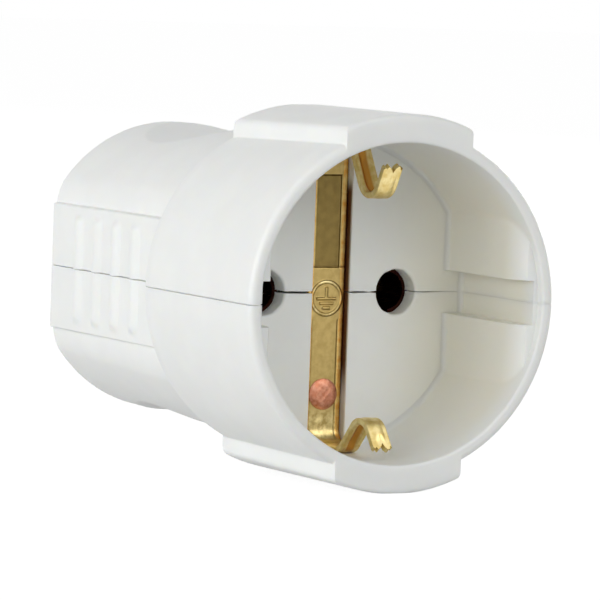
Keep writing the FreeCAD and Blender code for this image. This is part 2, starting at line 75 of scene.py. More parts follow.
def to_frame(points: Array) -> Array:
    """Millimetres about the socket's axis, mouth at y = 0, as metres in the frame."""
    return (np.asarray(points, float) + np.array([0.0, -OVERALL_LENGTH / 2, REST_HEIGHT])) * MM


def spans(start: float, *parts: tuple[float, int]) -> Array:
    """Sample places, in runs of even steps.

    Args:
        start: the first place.
        parts: end and number of steps of each run.

    Returns:
        All places, in order.
    """
    places = [np.array([start])]
    for end, steps in parts:
        places.append(np.linspace(places[-1][-1], end, steps + 1)[1:])
    return np.concatenate(places).round(6)


def soft_min(a: Array, b: Array, reach: float) -> Array:
    """The lower of two heights, less a parabola of the given reach where they cross."""
    near = np.clip(1 - np.abs(a - b) / reach, 0, 1)
    return np.minimum(a, b) - near * near * reach / 4


def soft_max(a: Array, b: Array, reach: float) -> Array:
    """The higher of two heights, plus a parabola of the given reach where they cross."""
    return -soft_min(-a, -b, reach)


def rounding(distance: Array, radius: float) -> Array:
    """How far a rounded edge falls away at a distance inside it: the radius less a quarter circle."""
    inside = radius - np.clip(distance, 0, radius)
    return radius - np.sqrt(np.maximum(radius * radius - inside * inside, 0))


def sag(along: Array, radius: float) -> Array:
    """How far a circle falls away from its tangent: r less the root of r squared less along squared."""
    return radius - np.sqrt(radius * radius - along * along)


def bend_radius(length: float, drop: float) -> float:
    """Radius of the circle that falls by the drop over the length from where it is level."""
    return (length ** 2 + drop ** 2) / (2 * drop)


def ramp(value: Array, start: float, end: float) -> Array:
    """Smooth step from 0 at start to 1 at end, by 3t squared less 2t cubed."""
    t = np.clip((value - start) / (end - start), 0, 1)
    return t * t * (3 - 2 * t)


def slopes(angle: Array) -> tuple[Array, Array]:
    """How far a ray at an angle goes across and up for each unit of radius, kept off nought."""
    return np.abs(np.cos(angle)) + TINY, np.abs(np.sin(angle)) + TINY


def around(steps: int) -> Array:
    """Evenly spaced angles over a whole turn."""
    return np.linspace(0, 2 * math.pi, steps, endpoint=False)


def add_object(name: str, data: bpy.types.ID) -> bpy.types.Object:
    """Makes an object in the scene.

    Args:
        name: the object's name.
        data: its mesh, lamp or camera.

    Returns:
        The new object.
    """
    made = bpy.data.objects.new(name, data)
    bpy.context.scene.collection.objects.link(made)
    return made


class Ends(Enum):
    """How the two ends of a loft are closed."""

    FLAT = "one face over each end"
    RULED = "quads across each end, from the loop's first half to its second"
    RING = "the last section joins the first"


class Sheets:
    """Closed surfaces gathered for one piece."""

    def __init__(self) -> None:
        """Starts empty."""
        self.points: list[Array] = []
        self.faces: list[list[int]] = []
        self.count = 0

    def loft(self, sections: Array, ends: Ends = Ends.FLAT) -> None:
        """Skins closed loops of points. The signed volume under the quads, a sixth of the sum of
        each triangle's triple product, says whether the faces are turned to point outwards.

        Args:
            sections: array of sections, loop points and coordinates, in millimetres.
            ends: how the first and last sections are closed.
        """
        rows, columns, _ = sections.shape
        index = np.arange(rows * columns).reshape(rows, columns)
        first, second = index[:-1], index[1:]
        if ends is Ends.RING:
            first, second = index, np.roll(index, -1, axis=0)
        quads = np.stack([first, np.roll(first, -1, axis=1), np.roll(second, -1, axis=1), second], axis=-1)
        quads = quads.reshape(-1, 4)
        faces = quads.tolist()
        if ends is Ends.FLAT:
            faces += [index[0][::-1].tolist(), index[-1].tolist()]
        if ends is Ends.RULED:
            half = columns // 2
            for loop, turned in ((index[0], True), (index[-1], False)):
                out, back = loop[:half], loop[half:][::-1]
                caps = np.stack([out[:-1], out[1:], back[1:], back[:-1]], axis=-1).tolist()
                faces += [cap[::-1] if turned else cap for cap in caps]
        flat = sections.reshape(-1, 3)
        centre = flat.mean(axis=0)
        a, b, c, d = (flat[quads[:, k]] - centre for k in range(4))
        if np.einsum("ij,ij->i", a, np.cross(b, c) + np.cross(c, d)).sum() < 0:
            faces = [face[::-1] for face in faces]
        self.faces += [[self.count + k for k in face] for face in faces]
        self.points.append(flat)
        self.count += len(flat)

    def mesh(self, name: str) -> Mesh:
        """The gathered surfaces as one mesh in the frame.

        Args:
            name: the mesh's name.

        Returns:
            The new mesh.
        """
        made = bpy.data.meshes.new(name)
        made.from_pydata(to_frame(np.concatenate(self.points)).tolist(), [], self.faces)
        made.update()
        return made


@dataclass(frozen=True)
class Piece:
    """What a new piece is called, is made of and stands for."""

    name: str
    slot: str
    stands_for: str

    def place(self, mesh: Mesh, material: Material) -> None:
        """Puts the mesh in the scene and ties it to the frame.

        Args:
            mesh: the finished mesh, in the frame's metres.
            material: its finish.
        """
        mesh.shade_smooth()
        mesh.set_sharp_from_angle(angle=SHARP_ANGLE)
        mesh.materials.append(material)
        made = add_object(self.name, mesh)
        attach(made, "root")
        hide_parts(self.stands_for)
        log.info("%s: %d faces", self.name, len(mesh.polygons))


class Half(Enum):
    """The two halves of the housing, and which way each lies from the parting plane."""

    UPPER = 1
    LOWER = -1


@dataclass(frozen=True)
class Collar:
    """The round front of the housing, with the recess for the plug and the grip pads."""

    radius: float = 21.6
    length: float = 26.5
    edge: float = 0.8
    shoulder_drop: float = 1.6
    shoulder_length: float = 4.5
    grip_half_width: float = 8.95
    grip_flare: float = 1.1
    grip_length: float = 27.7
    grip_corner: float = 0.9
    grip_front: float = 0.6
    grip_rear: float = 0.8
    recess_radius: float = 19.95
    recess_depth: float = 18.8
    lip: float = 0.35
    floor_fillet: float = 0.7
    land_x: float = 17.05
    land_front: float = 1.2
    land_step: float = 0.06
    land_blend: float = 0.2
    lead_length: float = 3.8
    lead_depth: float = 1.3
    groove_x: float = 19.3
    groove_half_height: float = 2.8
    groove_blend: float = 0.15

    def outside(self, y: Array) -> Array:
        """Turned outline: the collar's radius, then a circle through the shoulder's drop and length,
        less a quarter circle at the mouth's edge."""
        bend = bend_radius(self.shoulder_length, self.shoulder_drop)
        return self.radius - sag(np.clip(y - self.length, 0, bend), bend) - rounding(y, self.edge)

    def grip(self, y: Array, angle: Array) -> Array:
        """Grip pads above and below, a little wider behind than in front. A ray meets the crown's arc,
        or the corner's circle, or the upright side, by its lean from the vertical, and never leaves
        the flat that the part rests on.

        Args:
            y: distance behind the mouth.
            angle: angle of the ray about the axis.

        Returns:
            Radius of the pad along each ray, and 0 behind it.
        """
        across, up = slopes(angle)
        half = self.grip_half_width + self.grip_flare * np.clip(y / self.grip_length, 0, 1)
        centre_x = half - self.grip_corner
        centre_z = np.sqrt((GRIP_RADIUS - self.grip_corner) ** 2 - centre_x ** 2)
        along = centre_x * across + centre_z * up
        spare = self.grip_corner ** 2 - centre_x ** 2 - centre_z ** 2
        corner = along + np.sqrt(np.maximum(spare + along * along, 0))
        lean = np.arctan2(across, up)
        side = np.where(lean < np.arctan2(half, centre_z), corner, half / across)
        shape = np.where(lean < np.arctan2(centre_x, centre_z), GRIP_RADIUS, side)
        shape = np.minimum(shape, REST_HEIGHT / up)
        crown = GRIP_RADIUS - rounding(y, self.grip_front) - rounding(self.grip_length - y, self.grip_rear)
        return np.where(y <= self.grip_length, np.minimum(shape, crown), 0)

    def recess(self, y: Array, angle: Array) -> Array:
        """Inside of the recess: round, with a flat land at each side that has a curved lead-in and a
        guide groove. The lip opens at the mouth and a fillet closes on the floor.

        Args:
            y: distance behind the mouth.
            angle: angle of the ray about the axis.

        Returns:
            Radius of the recess along each ray.
        """
        across, up = slopes(angle)
        ahead = np.clip(self.land_front + self.lead_length - y, 0, self.lead_length)
        land = (self.land_x + sag(ahead, bend_radius(self.lead_length, self.lead_depth))) / across
        land = land + self.recess_radius * ramp(-y, -self.land_front, -self.land_front + self.land_step)
        groove = np.minimum(self.groove_x / across, self.groove_half_height / up)
        inside = soft_max(land, groove, self.groove_blend)
        inside = soft_min(self.recess_radius + 0 * y, inside, self.land_blend)
        return inside + rounding(y, self.lip) - rounding(self.recess_depth - y, self.floor_fillet)


@dataclass(frozen=True)
class Body:
    """The gripping body behind the collar."""

    front_radius: float = 20.0
    taper: float = 0.65
    edge: float = 1.2
    end_edge: float = 0.45
    half_width: float = 16.5
    flat_blend: float = 1.3
    scoop_radius: float = 27.0
    scoop_centre: float = 51.0
    scoop_floor: float = 17.2
    scoop_blend: float = 0.12
    pad_rise: float = 0.8
    pad_half_height: float = 8.3
    pad_end: float = 65.0
    pad_edge: float = 0.45
    pad_corner: float = 0.5
    pad_blend: float = 0.4
    ribs: tuple[float, ...] = (40.0, 45.5, 51.0, 56.5)
    rib_half_width: float = 1.35
    rib_half_height: float = 7.5
    rib_rise: float = 0.62
    rib_slope: float = 1.6
    cord_hole: float = 4.5
    cord_edge: float = 0.8
    cavity_half_width: float = 14.4
    cavity_half_height: float = 14.8
    cavity_radius: float = 17.25
    cavity_end: float = 63.2

    def rib_height(self, y: Array, z: Array) -> Array:
        """Grip ribs: each a parabola across its width, times a smooth step at its ends."""
        crown = np.max([1 - ((y - place) / self.rib_half_width) ** 2 for place in self.ribs], axis=0)
        ends = ramp(self.rib_half_height - np.abs(z), 0, self.rib_slope)
        return self.rib_rise * np.maximum(crown, 0) * ends

    def outside(self, y: Array, angle: Array, front: float) -> Array:
        """Tapered round body with flat sides, a dished finger scoop above and below (a circle along Y),
        and a ribbed pad at each side.

        Args:
            y: distance behind the mouth.
            angle: angle of the ray about the axis.
            front: where the taper starts.

        Returns:
            Radius of the body along each ray.
        """
        across, up = slopes(angle)
        share = (y - front) / (OVERALL_LENGTH - front)
        form = self.front_radius - self.taper * share - rounding(OVERALL_LENGTH - y, self.edge)
        form = soft_min(form, self.half_width / across, self.flat_blend)
        along = np.clip(np.abs(y - self.scoop_centre), 0, self.scoop_radius)
        form = soft_min(form, (self.scoop_floor + sag(along, self.scoop_radius)) / up, self.scoop_blend)
        pad_x = self.half_width + self.pad_rise
        pad_x = pad_x + self.rib_height(y, pad_x * up / across) - rounding(self.pad_end - y, self.pad_edge)
        pad = soft_min(pad_x / across, self.pad_half_height / up, self.pad_corner)
        form = soft_max(form, np.where(y <= self.pad_end, pad, 0), self.pad_blend)
        return form - rounding(OVERALL_LENGTH - y, self.end_edge)

    def cavity(self, angle: Array) -> Array:
        """Eight-sided room inside: the least of two widths and a circle."""
        across, up = slopes(angle)
        sides = np.minimum(self.cavity_half_width / across, self.cavity_half_height / up)
        return np.minimum(sides, self.cavity_radius)


@dataclass(frozen=True)
class Boss:
    """A square post bored for a housing screw."""

    x: float
    y: float


@dataclass(frozen=True)
class Housing:
    """The two white shells, each one closed skin, with a floor that has the pin holes."""

    collar: Collar = Collar()
    body: Body = Body()
    crease: float = 0.12
    crease_width: float = 0.2
    grip_blend: float = 0.25
    seam_gap: float = 0.04
    floor_seam: float = 0.1
    seam_edge: float = 0.13
    edge_fade: Range = (12.0, 17.0)
    gap_fade: Range = (9.0, 17.0)
    floor_back: float = 21.4
    floor_reach: float = 20.3
    floor_bite: float = 0.05
    pin_x: float = 9.5
    pin_hole: float = 2.8
    pin_edge: float = 0.35
    channel_half_width: float = 2.7
    channel_floor: float = 20.85
    channel_lap: float = 0.05
    bosses: tuple[Boss, ...] = (Boss(0.0, 35.6), Boss(11.2, 60.0))
    pocket_radius: float = 3.0
    pocket_seat: float = 9.0
    boss_bore: float = 1.6
    boss_half_width: float = 3.9
    boss_foot: float = 16.2
    wall_inside: float = 18.3

    def angles(self) -> Array:
        """Rays over a half turn, crowded at the seam, the groove, the flats and the pads' corners."""
        quarter = spans(0, (0.5, 6), (8.2, 12), (9.7, 14), (20, 10), (34, 30), (61.4, 18), (69.8, 52),
                        (84, 14), (90, 6))
        return np.radians(np.concatenate([quarter, 180 - quarter[:-1][::-1]]))

    def skin(self) -> Array:
        """One half's closed skin. Each section is a loop of radius and y in the half plane at one
        angle: up the recess, over the mouth, back along the outside, in at the cord hole and
        forward through the cavity. The outside is the greater of collar, body and grip pads, less a
        crease, the bell curve of how far collar and body are apart. The rows crowd where it bends.

        Returns:
            Sections from one side of the parting plane to the other.
        """
        collar, body = self.collar, self.body
        angle = self.angles()[:, None]
        deep, end = collar.recess_depth, OVERALL_LENGTH
        y_in = spans(0, (0.35, 6), (1.1, 3), (1.3, 6), (5, 12), (deep - 0.8, 14), (deep, 10),
                     (deep + self.floor_bite, 1))[::-1][None]
        y_out = spans(0, (0.8, 10), (25, 16), (26.3, 3), (27.7, 14), (27.71, 1), (30.4, 8), (34.6, 32),
                      (38, 5), (58.5, 70), (64.4, 10), (65, 8), (65.01, 1), (end, 12))[None]
        inside = collar.recess(np.minimum(y_in, deep) + 0 * angle, angle)
        edge = rounding(inside * np.sin(angle), self.seam_edge)
        inside = inside + edge * (1 - ramp(inside * np.cos(angle), *self.edge_fade))
        turned, rear = collar.outside(y_out) + 0 * angle, body.outside(y_out, angle, collar.length)
        form = np.maximum(turned, rear) - self.crease * np.exp(-((turned - rear) / self.crease_width) ** 2)
        form = soft_max(form, collar.grip(y_out, angle), self.grip_blend)
        form = form - rounding(form * np.sin(angle), self.seam_edge)
        hole, lip, back = body.cord_hole, body.cord_edge, body.cavity_end
        over, across = (np.linspace(0, 1, steps)[1:-1][None] for steps in (5, 9))
        turn = np.linspace(0, math.pi / 2, 7)[None]
        cavity = body.cavity(angle)
        room_y = np.linspace(back, self.floor_back, 9)[None]
        loop = [
            (inside, y_in),
            (inside[:, -1:] + (form[:, :1] - inside[:, -1:]) * over, 0 * over),
            (form, y_out),
            (form[:, -1:] + (hole + lip - form[:, -1:]) * across, end + 0 * across),
            (hole + lip * (1 - np.sin(turn)) + 0 * angle, end - lip * (1 - np.cos(turn))),
            (hole + 0 * angle, np.array([[back]])),
            (hole + (cavity - hole) * 0.5, np.array([[back]])),
            (cavity + 0 * room_y, room_y),
            (self.floor_reach - self.floor_bite + 0 * angle, np.array([[self.floor_back]])),
            (self.floor_reach - self.floor_bite + 0 * angle, y_in[:, :1]),
        ]
        radius = np.concatenate([row[0] for row in loop], axis=1)
        y = np.concatenate([row[1] for row in loop], axis=1) + 0 * angle
        return np.stack([radius * np.cos(angle), y, radius * np.sin(angle)], axis=-1)

    def floor_around_pin(self, side: int) -> Array:
        """Recess floor on one side of the strip: loops along rays from the pin hole's centre, out to
        the recess wall's circle or to the strip's channel, whichever the ray meets first.

        Args:
            side: 1 for the right side, -1 for the left.

        Returns:
            Sections over a half turn round the hole.
        """
        inner = self.channel_half_width
        corner = math.degrees(math.atan2(math.sqrt(self.floor_reach ** 2 - inner ** 2), inner - self.pin_x))
        turn = np.radians(spans(0, (corner, 36), (180, 30)))[:, None]
        lean = self.pin_x * np.cos(turn)
        wall = -lean + np.sqrt(lean * lean + self.floor_reach ** 2 - self.pin_x ** 2)
        reach = np.minimum(wall, (self.pin_x - inner) / np.maximum(-np.cos(turn), TINY))
        front, back, edge = self.collar.recess_depth, self.floor_back, self.pin_edge
        mouth = self.pin_hole + edge
        out = np.linspace(1, 0, 9)[None] ** 1.6
        arc = np.linspace(0, math.pi / 2, 10)[1:][None]
        radius = [mouth + (reach - mouth) * out, mouth - edge * np.sin(arc) + 0 * turn,
                  self.pin_hole + 0 * turn, reach]
        y = [front + 0 * out, front + edge * (1 - np.cos(arc)), np.array([[back, back]])]
        radius, y = np.concatenate(radius, axis=1), np.concatenate(y, axis=1) + 0 * turn
        return np.stack([side * (self.pin_x + radius * np.cos(turn)), y, radius * np.sin(turn)], axis=-1)

    def floor_under_strip(self) -> Array:
        """Bottom of the strip's channel: a thin rectangle carried up Z.

        Returns:
            Sections, from the parting plane to the wall.
        """
        z = np.linspace(0, self.floor_reach - self.channel_lap, 5)[:, None]
        side = self.channel_half_width + self.channel_lap
        x = np.array([[-side, side, side, -side]]) + 0 * z
        y = np.array([[self.channel_floor] * 2 + [self.floor_back] * 2]) + 0 * z
        return np.stack([x, y, z + 0 * x], axis=-1)

    def boss(self, place: Boss, half: Half) -> Array:
        """A square post bored down its middle. Around the bore, the post's side is its half width over
        the greater of |cos| and |sin|; its foot follows the inside of the wall.

        Args:
            place: where the post stands.
            half: the shell that it stands in.

        Returns:
            Sections round the bore.
        """
        turn = around(64)[:, None]
        square = self.boss_half_width / np.maximum(np.abs(np.cos(turn)), np.abs(np.sin(turn)))
        bore, seat = self.boss_bore + 0 * turn, self.pocket_seat + 0 * turn
        pocket = self.pocket_radius + 0 * turn if half is Half.LOWER else bore
        radius = np.concatenate([square, square, bore, bore, pocket, pocket], axis=1)
        x, y = place.x + radius * np.cos(turn), place.y + radius * np.sin(turn)
        foot = np.minimum(self.boss_foot, np.sqrt(self.wall_inside ** 2 - x * x))
        z = np.concatenate([foot[:, :1], 0 * turn, 0 * turn, seat, seat, foot[:, -1:]], axis=1)
        return np.stack([x, y, z], axis=-1)

    def shut(self, sections: Array, half: Half, gap: float) -> Array:
        """Turns a shape drawn above the parting plane to its half and leaves half of the seam's gap, which
        wanders along x by two sines and closes towards the right.

        Args:
            sections: the shape.
            half: where it goes.
            gap: half of the seam's mean gap.

        Returns:
            The moved sections.
        """
        moved, x = sections.copy(), sections[..., 0]
        wander = 1 + 0.35 * np.sin(1.9 * x + 0.8) + 0.25 * np.sin(4.3 * x)
        open_by = gap * wander * (1.1 - ramp(x, *self.gap_fade))
        moved[..., 2] = half.value * (sections[..., 2] * (1 - open_by / REST_HEIGHT) + open_by)
        return moved

    def bored(self, mesh: Mesh) -> Mesh:
        """The lower skin, with a round pocket cut through it for each screw.

        Args:
            mesh: the whole skin.

        Returns:
            A new mesh, bored.
        """
        turn, rods = around(72)[None], Sheets()
        levels = np.array([-30.0, -self.pocket_seat])[:, None] + 0 * turn
        for place in self.bosses:
            x, y = place.x + self.pocket_radius * np.cos(turn), place.y + self.pocket_radius * np.sin(turn)
            rods.loft(np.stack([x + 0 * levels, y + 0 * levels, levels], axis=-1))
        cutter = add_object("pocket_cutter", rods.mesh("pocket_cutter"))
        whole = add_object("whole_skin", mesh)
        cut = whole.modifiers.new("pockets", "BOOLEAN")
        cut.object, cut.operation, cut.solver = cutter, "DIFFERENCE", "EXACT"
        bpy.context.view_layer.update()
        made = bpy.data.meshes.new_from_object(whole.evaluated_get(bpy.context.evaluated_depsgraph_get()))
        for used in (whole, cutter):
            bpy.data.objects.remove(used)
        return made

    def build(self, half: Half, material: Material) -> None:
        """Makes one shell and ties it to the frame.

        Args:
            half: which shell.
            material: the white plastic.
        """
        skin, inner = Sheets(), Sheets()
        skin.loft(self.shut(self.skin(), half, self.seam_gap))
        for side in (1, -1):
            inner.loft(self.shut(self.floor_around_pin(side), half, self.floor_seam))
        inner.loft(self.shut(self.floor_under_strip(), half, self.floor_seam))
        for place in self.bosses:
            inner.loft(self.shut(self.boss(place, half), half, self.seam_gap), Ends.RING)
        name = f"{half.name.lower()}_shell"
        outer = skin.mesh(name + "_skin")
        if half is Half.LOWER:
            outer = self.bored(outer)
        joined = bmesh.new()
        joined.from_mesh(outer)
        joined.from_mesh(inner.mesh(name + "_inside"))
        mesh = bpy.data.meshes.new(name + "_dressed")
        joined.to_mesh(mesh)
        joined.free()
        Piece(name + "_dressed", "housing", name).place(mesh, material)


@dataclass(frozen=True)
class EarthStrip:
    """One band of brass across the recess floor, folded forward along the wall at both ends into
    beaded, forked spring hooks."""

    half_width: float = 2.6
    thickness: float = 0.8
    front: float = 20.0
    wall_z: float = 19.55
    hook_half_width: float = 1.35
    shoulder_y: float = 15.2
    hook_rows: float = 14.5
    root_y: float = 13.2
    apex_y: float = 7.8
    tip_y: float = 4.0
    upper_apex_z: float = 10.35
    upper_tip_z: float = 17.3
    lower_apex_z: float = -13.85
    lower_tip_z: float = -18.9
    bend: float = 2.6
    fold: float = 2.1
    edge: float = 0.16
    bead_half_width: float = 0.76
    bead_rise: float = 0.2
    bead_dip: float = 0.9
    bead_dip_reach: float = 1.1
    trough_depth: float = 0.5
    fork_x: float = 0.85
    fork_base: float = 0.3
    fork_depth: float = 0.5
    fork_corner: float = 0.2
    fork_fade: float = 3.0
    tear: float = 0.18
    panel_half_width: float = 1.65
    panel_low: float = 3.2
    panel_high: float = 14.8
    panel_depth: float = 0.25
    panel_slope: float = 0.15
    line_x: float = 1.8
    line_start: float = -3.4
    line_depth: float = 0.09
    stamp_z: float = -0.85
    stamp_radius: float = 2.1
    stamp_rise: float = 0.17
    stamp_line: float = 0.2
    stamp_bars: tuple[Range, ...] = ((-0.05, 1.35), (-0.65, 0.95), (-1.25, 0.5))

    def line(self) -> tuple[Array, Array, Array, Array]:
        """Centre line from the upper tip to the lower one: straight runs joined by circular bends.

        Returns:
            Arc length, y, z and heading of closely spaced points.
        """
        middle = self.front + self.thickness / 2
        corners = np.array([(self.tip_y, self.upper_tip_z), (self.apex_y, self.upper_apex_z),
                            (self.root_y, self.wall_z), (middle, self.wall_z), (middle, -self.wall_z),
                            (self.root_y, -self.wall_z), (self.apex_y, self.lower_apex_z),
                            (self.tip_y, self.lower_tip_z)])
        radii = [self.bend, self.bend, self.fold, self.fold, self.bend, self.bend]
        runs = np.diff(corners, axis=0)
        lengths = np.hypot(runs[:, 0], runs[:, 1])
        headings = np.unwrap(np.arctan2(runs[:, 1], runs[:, 0]))
        turns = np.diff(headings)
        setbacks = [0.0, *[r * math.tan(abs(t) / 2) for r, t in zip(radii, turns)], 0.0]
        stops, shown = [0.0], [headings[0]]
        for k, length in enumerate(lengths):
            stops.append(stops[-1] + length - setbacks[k] - setbacks[k + 1])
            shown.append(headings[k])
            if k < len(turns):
                stops.append(stops[-1] + radii[k] * abs(turns[k]))
                shown.append(headings[k + 1])
        s = np.linspace(0, stops[-1], 12001)
        heading = np.interp(s, stops, shown)
        moves = np.stack([np.cos(heading), np.sin(heading)])
        path = np.cumsum((moves[:, 1:] + moves[:, :-1]) * s[1] / 2, axis=1)
        y, z = (start + np.append(0, along) for start, along in zip(corners[0], path))
        return s, y, z, heading

    def stamp(self, x: Array, z: Array) -> Array:
        """Raised earth sign in a ring: a ridge round the ring, an upright bar and three level bars, each
        the relief's height times exp of minus the fourth power of the way from its middle line.

        Args:
            x: place across the band.
            z: place along it.

        Returns:
            Height of the relief.
        """
        up = z - self.stamp_z
        ring = np.exp(-((np.hypot(x, up) - self.stamp_radius) / self.stamp_line) ** 4)
        post = np.exp(-(x / self.stamp_line) ** 4) * ramp(up, -0.15, 0.0) * ramp(-up, -1.5, -1.35)
        thin = 0.9 * self.stamp_line
        bars = [np.exp(-((up - level) / thin) ** 4) * ramp(-np.abs(x), -width - 0.1, -width)
                for level, width in self.stamp_bars]
        return self.stamp_rise * np.max([ring, post, *bars], axis=0)

    def rows(self, line: tuple[Array, ...]) -> Array:
        """Places of the cross rows, crowded on the hooks, the panel's ends and the sign.

        Args:
            line: what line() gives.

        Returns:
            Arc lengths, as a column.
        """
        s, y, z, _ = line
        on_floor = y > self.front - 2
        middle = np.interp(0, -z[on_floor], s[on_floor])
        total, hook, fork = s[-1], self.hook_rows, self.fork_fade
        high, low, below = middle - self.panel_high - 0.6, middle - self.panel_low - 0.4, middle + 4.0
        return spans(0, (fork, 22), (hook, 64), (high, 30), (low, 50), (below, 120), (total - hook, 44),
                     (total - fork, 64), (total, 22))[:, None]

    def sections(self) -> Array:
        """The band's skin. Across the band, x runs to the half width at that place; the skin lies half
        the thickness off the centre line, plus a rounded ridge on the hooks with its trough behind,
        less the sunk panel and the drawn lines, plus the stamped sign. Near each tip the rows draw
        back over a jagged notch.

        Returns:
            Sections along the band, front first and back second in each loop.
        """
        line = self.line()
        rows, total = self.rows(line), line[0][-1]
        tip = np.minimum(rows, total - rows)
        grow = ramp(np.interp(rows, line[0], line[1]), self.shoulder_y - 0.35, self.shoulder_y + 0.15)
        width = self.hook_half_width + (self.half_width - self.hook_half_width) * grow
        across = np.linspace(-1, 1, 75)
        x = (np.sign(across) * (1 - (1 - np.abs(across)) ** 1.15))[None] * width
        off = np.abs(x)
        outer = np.clip((off - self.fork_x) / (self.hook_half_width - self.fork_x), 0, 1)
        drawn = self.fork_base + self.fork_depth * ramp(-off, -self.fork_x, 0.1)
        drawn = drawn + self.fork_corner * outer * outer
        drawn = drawn + self.tear * (1 + np.sin(5.7 * x + 1.2)) * (1 + 0.5 * np.sin(13 * x))
        drawn = drawn * np.clip(1 - tip / self.fork_fade, 0, 1)
        s = rows + np.where(rows < total / 2, drawn, -drawn)
        y, z, heading = (np.interp(s, line[0], values) for values in line[1:])
        hook = ramp(-y, -self.root_y + 0.3, -self.root_y + 1.5) * ramp(tip, 0.8, 2.4)
        dip = self.bead_dip * np.exp(-((y - self.apex_y - 0.1) / self.bead_dip_reach) ** 2)
        bead = hook * (1 - dip) * np.clip(1 - (x / self.bead_half_width) ** 2, 0, 1)
        floor = ramp(y, self.front, self.front + self.thickness / 4)
        slope, low, high, side = self.panel_slope, self.panel_low, self.panel_high, self.panel_half_width
        panel = ramp(-off, -side - 0.12, -side) * ramp(z, low - slope, low) * ramp(-z, -high - slope, -high)
        lines = np.exp(-((off - self.line_x) / 0.08) ** 2) * ramp(-z, -self.line_start, 0.5 - self.line_start)
        lines = lines + np.exp(-((z - low + 0.08) / 0.1) ** 2)
        relief = self.stamp(x, z) - self.panel_depth * panel - self.line_depth * lines
        skin = self.thickness / 2 - rounding(width - off, self.edge)
        front, back = (
            np.stack([x, y + np.sin(heading) * offset, z - np.cos(heading) * offset], axis=-1)
            for offset in (skin + self.bead_rise * bead + floor * relief, self.trough_depth * bead - skin))
        return np.concatenate([front, back[:, ::-1]], axis=1)

    def build(self, material: Material) -> None:
        """Makes the strip and ties it to the frame.

        Args:
            material: the brass.
        """
        sheets, name = Sheets(), "earth_strip_dressed"
        sheets.loft(self.sections(), Ends.RULED)
        Piece(name, "brass", "earth_strip").place(sheets.mesh(name), material)


@dataclass(frozen=True)
class EarthRivet:
    """Hammered copper rivet through the strip and the recess floor."""

    z: float = -13.1
    front: float = 20.0
    head_radius: float = 2.0
    head_height: float = 0.4
    rim: float = 0.1
    dent: float = 0.02
    shank: float = 1.2
    back: float = 22.2
    tail_radius: float = 1.5
    tail_height: float = 0.6

    def build(self, material: Material) -> None:
        """Makes the rivet: a head whose height falls as the fourth power of the radius, with shallow
        hammer marks of crossed sines, over a shank and a spread tail. The turned profile starts and
        ends on the axis.

        Args:
            material: the copper.
        """
        share = np.append(np.linspace(0, 0.9, 15), np.linspace(0.92, 1, 7))
        height = self.rim + (self.head_height - self.rim) * (1 - share ** 4)
        height = height - rounding(1 - share, 0.06) * self.rim
        back, end, spread = self.back, self.back + self.tail_height, self.tail_radius
        head = np.stack([share * self.head_radius, self.front - height], axis=-1)
        tail = [(self.head_radius, self.front + 0.02), (self.shank, self.front), (self.shank, back),
                (spread, back), (spread, back + self.tail_height * 0.6), (spread * 0.8, end), (0.0, end)]
        profile, turn = np.concatenate([head, tail]), around(72)[:, None]
        x, z = (profile[:, 0] * swing for swing in (np.cos(turn), np.sin(turn)))
        marks = np.sin(3.9 * x + 1.1) * np.sin(4.4 * z + 0.4)
        marks = marks + 0.6 * np.sin(5.3 * x + 2) * np.sin(3.1 * x - 6.2 * z)
        dent = self.dent * marks * np.clip(1 - np.hypot(x, z) / self.head_radius, 0, 1) ** 0.5
        dent[:, len(head):] = 0
        sheets = Sheets()
        sheets.loft(np.stack([x, profile[:, 1] + dent, z + self.z], axis=-1), Ends.RING)
        name = "earth_rivet_dressed"
        mesh = sheets.mesh(name)
        whole = bmesh.new()
        whole.from_mesh(mesh)
        bmesh.ops.remove_doubles(whole, verts=whole.verts, dist=1e-7)
        whole.to_mesh(mesh)
        whole.free()
        Piece(name, "copper", "earth_rivet").place(mesh, material)


